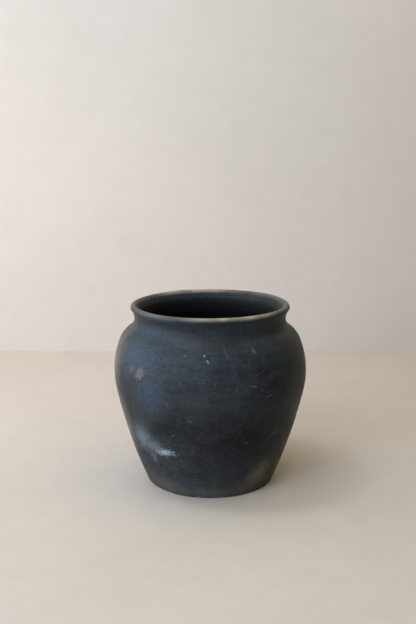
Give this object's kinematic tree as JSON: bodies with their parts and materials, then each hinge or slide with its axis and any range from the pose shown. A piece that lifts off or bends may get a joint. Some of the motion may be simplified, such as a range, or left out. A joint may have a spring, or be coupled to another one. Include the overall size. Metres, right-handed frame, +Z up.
{
  "type": "clay pot",
  "caption": "Round-bellied black clay water pot with a short hollow neck, a flared rounded lip and a flat foot, hand built from luted coils on a slab.",
  "frame": {"origin": "centre of the flat underside that the pot stands on", "axes": "+Z up along the pot's axis, out through the mouth; +X to the viewer's right and +Y away from the viewer, both arbitrary on a round pot"},
  "size_m": [0.2604, 0.2604, 0.2444],
  "materials": {
    "smoked_clay": "matte unglazed black-fired clay, wiped smooth, with fine wiping lines, pale scuffs, small chips and a brown fire cloud",
    "slab_clay": "matte unglazed black-fired clay, scraped flat and rubbed pale where it rests"
  },
  "bodies": {
    "root": {"base_slab": "slab_clay", "foot_coil": "smoked_clay", "lower_wall_coil": "smoked_clay", "upper_wall_coil": "smoked_clay", "belly_coil": "smoked_clay", "shoulder_coil": "smoked_clay", "neck_coil": "smoked_clay", "lip_coil": "smoked_clay"}
  },
  "joints": []
}
